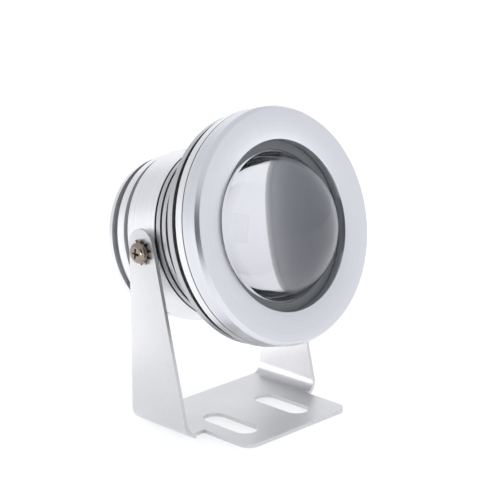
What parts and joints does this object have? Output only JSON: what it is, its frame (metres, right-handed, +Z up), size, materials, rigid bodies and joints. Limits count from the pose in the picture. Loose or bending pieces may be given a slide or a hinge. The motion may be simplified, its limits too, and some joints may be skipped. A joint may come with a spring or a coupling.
{
  "type": "underwater pool light",
  "caption": "Small round underwater spotlight with a convex glass lens in a turned metal head that tilts between the arms of a folded U bracket with a slotted foot.",
  "frame": {"origin": "on the underside of the bracket's plate, straight below the pivot axis, midway between the arms", "axes": "+X along the pivot axis, to the right as seen from in front of the lamp; the lamp faces -Y and is tipped up 15.3 degrees at rest; +Z up from the plate"},
  "size_m": [0.09, 0.0956, 0.1239],
  "materials": {
    "silver_painted_steel": "satin, fine metallic silver paint on folded sheet",
    "anodised_aluminium": "turned, fine circumferential lines, clear anodised satin",
    "optical_glass": "polished",
    "black_silicone": "smooth, slightly shiny",
    "stainless_steel": "bright",
    "black_nylon": "matte",
    "nickel_plated_brass": "bright nickel plating",
    "thermal_silicone": "matte",
    "white_metal_core_board": "white solder mask",
    "phosphor": "matte",
    "metallised_plastic": "mirror-like metallised",
    "green_circuit_board": "green solder mask",
    "component_black": "moulded",
    "wound_ferrite": "enamelled copper winding",
    "red_insulation": "smooth",
    "black_insulation": "smooth"
  },
  "bodies": {
    "bracket": {"bracket": "silver_painted_steel"},
    "lamp_head": {"housing": "anodised_aluminium", "bezel": "anodised_aluminium", "rear_cap": "anodised_aluminium", "lens": "optical_glass", "lens_gasket": "black_silicone", "lens_o_ring": "black_silicone", "cap_o_ring": "black_silicone", "gland_washer": "black_silicone", "gland_seal": "black_silicone", "gland_body": "nickel_plated_brass", "gland_nut": "nickel_plated_brass", "pivot_screw_left": "stainless_steel", "pivot_screw_right": "stainless_steel", "lock_washer_left": "stainless_steel", "lock_washer_right": "stainless_steel", "board_screw_1": "stainless_steel", "board_screw_2": "stainless_steel", "board_screw_3": "stainless_steel", "spacer_left": "black_nylon", "spacer_right": "black_nylon", "thermal_pad": "thermal_silicone", "led_board": "white_metal_core_board", "led_emitter": "phosphor", "reflector": "metallised_plastic", "driver_board": "green_circuit_board", "capacitor": "component_black", "rectifier": "component_black", "inductor": "wound_ferrite", "lead_positive": "red_insulation", "lead_negative": "black_insulation"}
  },
  "joints": [
    {"name": "head_tilt", "type": "hinge", "parent": "bracket", "child": "lamp_head", "pos_m": [0, 0, 0.07], "axis": [-1, 0, 0], "range_deg": [-33, 188]}
  ]
}
